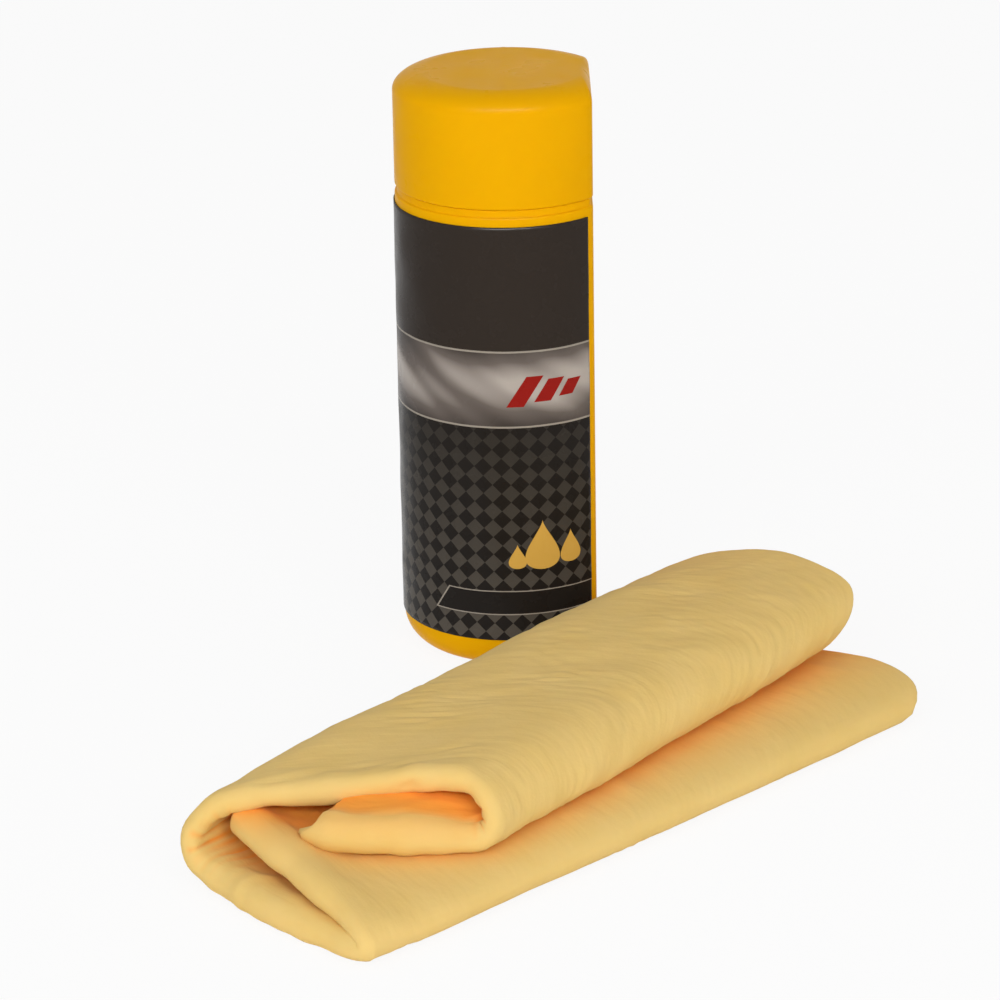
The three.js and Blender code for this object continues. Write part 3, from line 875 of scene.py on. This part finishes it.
paper_glow = shader_node(paper_tree, "ShaderNodeEmission", {"Color": (1, 1, 1, 1), "Strength": 1.0})
glow_share = shader_node(paper_tree, "ShaderNodeMath", {
    0: seen_directly(paper_tree), 1: floor_glow,
}, operation="MULTIPLY")
paper_mix = shader_node(paper_tree, "ShaderNodeMixShader", {
    0: glow_share.outputs[0], 1: paper_shader.outputs[0], 2: paper_glow.outputs[0],
})
paper_tree.links.new(paper_mix.outputs[0], paper_tree.nodes["Material Output"].inputs["Surface"])
floor.data.materials.append(paper)

world = bpy.data.worlds.new("studio")
bpy.context.scene.world = world
world.use_nodes = True
surround = world.node_tree.nodes["Background"]
surround_level = shader_node(world.node_tree, "ShaderNodeMapRange", {
    "Value": seen_directly(world.node_tree), "To Min": 0.45, "To Max": 1.0,
})
surround.inputs["Color"].default_value = (1, 1, 1, 1)
world.node_tree.links.new(surround_level.outputs[0], surround.inputs["Strength"])


def soft_lamp(name, place, width, height, power):
    """An oblong lamp that looks at the middle of the object."""
    lamp = bpy.data.lights.new(name, "AREA")
    lamp.shape = "RECTANGLE"
    lamp.size = width
    lamp.size_y = height
    lamp.energy = power
    made = bpy.data.objects.new(name, lamp)
    bpy.context.scene.collection.objects.link(made)
    made.location = place
    made.rotation_euler = (-made.location).to_track_quat("-Z", "Y").to_euler()
    return made


soft_lamp("front_lamp", (-0.06, -1.64, 0.92), 2.8, 0.45, 23.5)
strip_lamp = soft_lamp("strip_lamp", (0.0, -1.25, 1.6), 1.6, 0.05, 150)
strip_lamp.visible_diffuse = False

camera_from_axis = np.array([-3.2, -1207.4, 488.5]) * mm
camera_pitch = 20.31  # degrees below the horizon
camera_roll = -0.99
camera_data = bpy.data.cameras.new("camera")
camera_data.sensor_width = 36
camera_data.lens = 158.4
camera = bpy.data.objects.new("camera", camera_data)
bpy.context.scene.collection.objects.link(camera)
camera.matrix_world = (
    Matrix.Translation(axis + camera_from_axis)
    @ Matrix.Rotation(np.radians(90 - camera_pitch), 4, "X")
    @ Matrix.Rotation(np.radians(camera_roll), 4, "Z")
)
bpy.context.scene.camera = camera
bpy.context.scene.view_settings.view_transform = "Standard"
